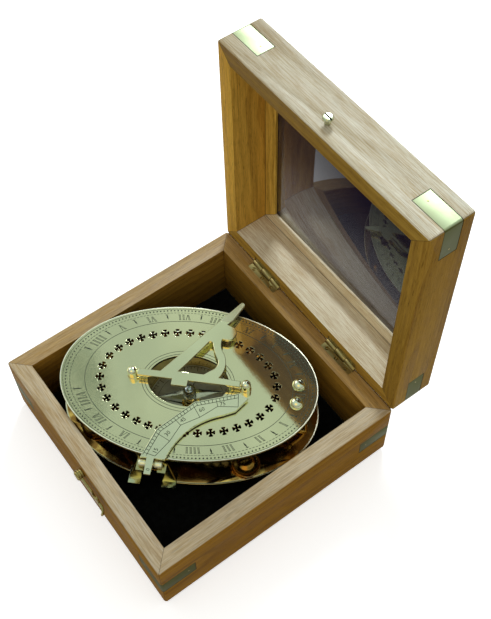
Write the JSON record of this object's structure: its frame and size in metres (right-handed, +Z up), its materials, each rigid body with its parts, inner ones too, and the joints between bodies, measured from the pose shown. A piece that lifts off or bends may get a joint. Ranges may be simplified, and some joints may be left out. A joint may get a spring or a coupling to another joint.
{
  "type": "compass box",
  "caption": "Square glazed hardwood box, its hinged lid standing open, holding a folding oval brass sundial and compass",
  "frame": {"origin": "centre of the underside of the box base", "axes": "+Z up, -Y towards the hook side, +Y towards the hinges, +X to the right seen from the hook side"},
  "size_m": [0.16, 0.193, 0.2133],
  "materials": {
    "base_wood": "satin oiled light hardwood",
    "velvet": "black velvet",
    "strap_brass": "brushed brass, flush",
    "hinge_brass": "brass",
    "latch_brass": "brass",
    "lid_wood": "satin oiled light hardwood",
    "rail_wood": "satin oiled light hardwood",
    "pane_glass": "dark flat glass",
    "polished_brass": "mirror polished brass",
    "turned_brass": "polished brass",
    "needle_metal": "pale polished metal",
    "cap_steel": "polished",
    "dial_brass": "polished and engraved brass"
  },
  "bodies": {
    "box_base": {"base_wall_front": "base_wood", "base_wall_right": "base_wood", "base_wall_back": "base_wood", "base_wall_left": "base_wood", "base_floor": "base_wood", "floor_lining": "velvet", "base_strap_front_left": "strap_brass", "base_strap_front_right": "strap_brass", "base_strap_back_right": "strap_brass", "base_strap_back_left": "strap_brass", "hinge_left_base_leaf": "hinge_brass", "hinge_left_pin": "hinge_brass", "hinge_right_base_leaf": "hinge_brass", "hinge_right_pin": "hinge_brass", "hook_screw": "latch_brass"},
    "lid": {"lid_wall_front": "lid_wood", "lid_wall_right": "lid_wood", "lid_wall_back": "lid_wood", "lid_wall_left": "lid_wood", "lid_rail_front": "rail_wood", "lid_rail_right": "rail_wood", "lid_rail_back": "rail_wood", "lid_rail_left": "rail_wood", "lid_pane": "pane_glass", "lid_strap_front_left": "strap_brass", "lid_strap_front_right": "strap_brass", "lid_strap_back_right": "strap_brass", "lid_strap_back_left": "strap_brass", "hinge_left_lid_leaf": "hinge_brass", "hinge_right_lid_leaf": "hinge_brass", "catch_pin": "latch_brass"},
    "hook": {"latch_hook": "latch_brass"},
    "instrument": {"lower_plate": "polished_brass", "arm_bracket_left": "turned_brass", "arm_bracket_right": "turned_brass", "compass_bowl": "polished_brass", "compass_card": "polished_brass", "compass_pillar": "turned_brass", "dial_hinge_post": "turned_brass", "dial_hinge_pin": "turned_brass"},
    "needle": {"needle_blade": "needle_metal", "needle_cap": "cap_steel"},
    "dial": {"dial_plate": "dial_brass", "dome_nut_near": "turned_brass", "dome_nut_far": "turned_brass", "dial_hinge_leaf": "turned_brass", "gnomon_post_left": "turned_brass", "gnomon_post_right": "turned_brass", "gnomon_pivot_left": "turned_brass", "gnomon_pivot_right": "turned_brass", "arm_hinge_plate": "turned_brass"},
    "gnomon_plate": {"gnomon": "turned_brass"},
    "arm": {"latitude_arm": "turned_brass"},
    "leveller_1": {"levelling_screw_1": "turned_brass"},
    "leveller_2": {"levelling_screw_2": "turned_brass"},
    "leveller_3": {"levelling_screw_3": "turned_brass"},
    "leveller_4": {"levelling_screw_4": "turned_brass"}
  },
  "joints": [
    {"name": "lid_hinge", "type": "hinge", "parent": "box_base", "child": "lid", "pos_m": [0, 0.08, 0.0485], "axis": [1, 0, 0], "range_deg": [0, 90]},
    {"name": "hook_pivot", "type": "hinge", "parent": "box_base", "child": "hook", "pos_m": [0.003, -0.0823, 0.041], "axis": [0, -1, 0], "range_deg": [-90, 105.99]},
    {"name": "instrument_lift", "type": "slide", "parent": "box_base", "child": "instrument", "axis": [0, 0, -1], "range_m": [-0.06, 0]},
    {"name": "dial_tilt", "type": "hinge", "parent": "instrument", "child": "dial", "pos_m": [0.0459, 0.0466, 0.0486], "axis": [0.7071, -0.7071, 0], "range_deg": [-70, 0]},
    {"name": "gnomon_fold", "type": "hinge", "parent": "dial", "child": "gnomon_plate", "pos_m": [-0.00303, -0.00347, 0.0567], "axis": [-0.7071, -0.7071, 0], "range_deg": [-90, 0]},
    {"name": "arm_fold", "type": "hinge", "parent": "dial", "child": "arm", "pos_m": [0.02652, -0.04858, 0.0518], "axis": [-0.7071, -0.7071, 0], "range_deg": [-90, 0]},
    {"name": "needle_spin", "type": "hinge", "parent": "instrument", "child": "needle", "pos_m": [-0.0036, -0.0029, 0.04], "axis": [0, 0, 1], "continuous": true},
    {"name": "leveller_1_turn", "type": "hinge", "parent": "instrument", "child": "leveller_1", "pos_m": [-0.00112, 0.04907, 0.024], "axis": [0, 0, 1], "continuous": true},
    {"name": "leveller_2_turn", "type": "hinge", "parent": "instrument", "child": "leveller_2", "pos_m": [0.04837, -0.00042, 0.024], "axis": [0, 0, 1], "continuous": true},
    {"name": "leveller_3_turn", "type": "hinge", "parent": "instrument", "child": "leveller_3", "pos_m": [-0.05734, -0.02411, 0.024], "axis": [0, 0, 1], "continuous": true},
    {"name": "leveller_4_turn", "type": "hinge", "parent": "instrument", "child": "leveller_4", "pos_m": [-0.02481, -0.05664, 0.024], "axis": [0, 0, 1], "continuous": true}
  ]
}
